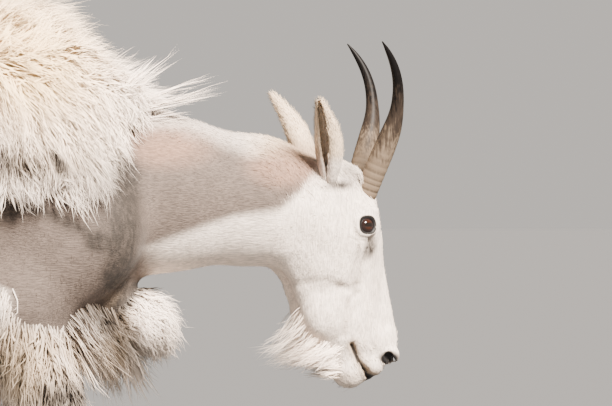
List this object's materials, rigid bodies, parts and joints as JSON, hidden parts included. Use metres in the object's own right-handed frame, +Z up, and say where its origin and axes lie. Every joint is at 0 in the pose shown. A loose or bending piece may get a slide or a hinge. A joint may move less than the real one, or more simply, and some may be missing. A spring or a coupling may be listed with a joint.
{
  "type": "mountain goat",
  "caption": "Life-size standing mountain goat in moult, a still museum-style model with shaggy winter coat, beard, ears, black horns and cloven hooves.",
  "frame": {"origin": "on the ground, below the middle of the whole animal's box", "axes": "+X the way the animal stands facing, +Y to its left, +Z up"},
  "size_m": [1.5228, 0.4868, 0.9475],
  "materials": {
    "winter_coat": "long white to cream winter hair with duller, darker underwool between the locks",
    "new_coat": "short new summer hair of the neck and shoulder, beige to pinkish grey",
    "ear_skin": "short pale hair over thin skin, darker inside the cup",
    "horn": "keratin, glossy black at the tip, dull and ringed grey-brown at the root",
    "hoof": "dark keratin, worn and dusty at the ground",
    "eye": "wet, dark amber iris with a level black pupil"
  },
  "bodies": {
    "root": {"barrel": "winter_coat", "breast_tuft": "winter_coat", "ear_left": "ear_skin", "ear_right": "ear_skin", "eye_left": "eye", "eye_right": "eye", "forecannon_left": "winter_coat", "forecannon_right": "winter_coat", "foreleg_left": "winter_coat", "foreleg_right": "winter_coat", "head": "winter_coat", "hindcannon_left": "winter_coat", "hindcannon_right": "winter_coat", "hindleg_left": "winter_coat", "hindleg_right": "winter_coat", "hoof_foreleg_left_inner": "hoof", "hoof_foreleg_left_outer": "hoof", "hoof_foreleg_right_inner": "hoof", "hoof_foreleg_right_outer": "hoof", "hoof_hindleg_left_inner": "hoof", "hoof_hindleg_left_outer": "hoof", "hoof_hindleg_right_inner": "hoof", "hoof_hindleg_right_outer": "hoof", "horn_left": "horn", "horn_right": "horn", "neck": "new_coat", "rump": "winter_coat", "shoulders": "winter_coat", "tail": "winter_coat"}
  },
  "joints": []
}
